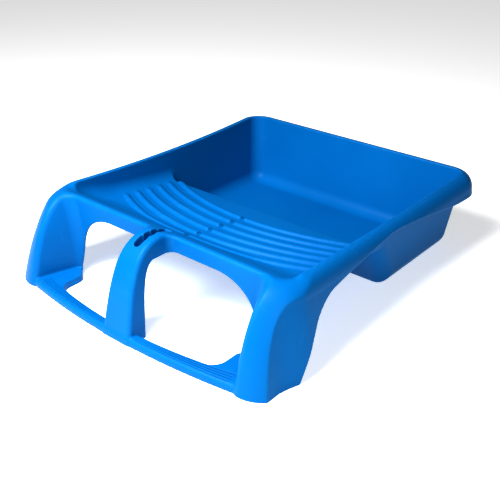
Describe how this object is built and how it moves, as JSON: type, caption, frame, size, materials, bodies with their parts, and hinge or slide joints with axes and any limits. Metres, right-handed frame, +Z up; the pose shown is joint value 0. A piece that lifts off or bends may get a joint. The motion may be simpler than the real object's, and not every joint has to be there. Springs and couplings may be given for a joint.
{
  "type": "paint roller tray",
  "caption": "Moulded plastic paint roller tray with a deep well, a ribbed ramp, splayed front legs, a foot bar and a centre handle with a tool slot.",
  "frame": {"origin": "on the ground under the middle of the tray's overall box", "axes": "+Y points from the legs towards the deep well, +Z up, +X to the right of a person who stands at the legs and looks towards the well"},
  "size_m": [0.34, 0.388, 0.088],
  "materials": {
    "blue_polypropylene": "satin"
  },
  "bodies": {
    "root": {"well_floor": "blue_polypropylene", "well_back_wall": "blue_polypropylene", "well_left_wall": "blue_polypropylene", "well_right_wall": "blue_polypropylene", "well_front_wall": "blue_polypropylene", "ramp_deck": "blue_polypropylene", "ramp_left_wall": "blue_polypropylene", "ramp_right_wall": "blue_polypropylene", "ramp_left_ridges": "blue_polypropylene", "ramp_right_ridges": "blue_polypropylene", "front_lip": "blue_polypropylene", "front_apron": "blue_polypropylene", "back_rim": "blue_polypropylene", "left_rim": "blue_polypropylene", "right_rim": "blue_polypropylene", "left_leg": "blue_polypropylene", "right_leg": "blue_polypropylene", "centre_handle": "blue_polypropylene", "tool_slot_pocket": "blue_polypropylene", "tool_slot_teeth": "blue_polypropylene", "left_foot_bar": "blue_polypropylene", "right_foot_bar": "blue_polypropylene", "left_grip_ribs": "blue_polypropylene", "right_grip_ribs": "blue_polypropylene"}
  },
  "joints": []
}
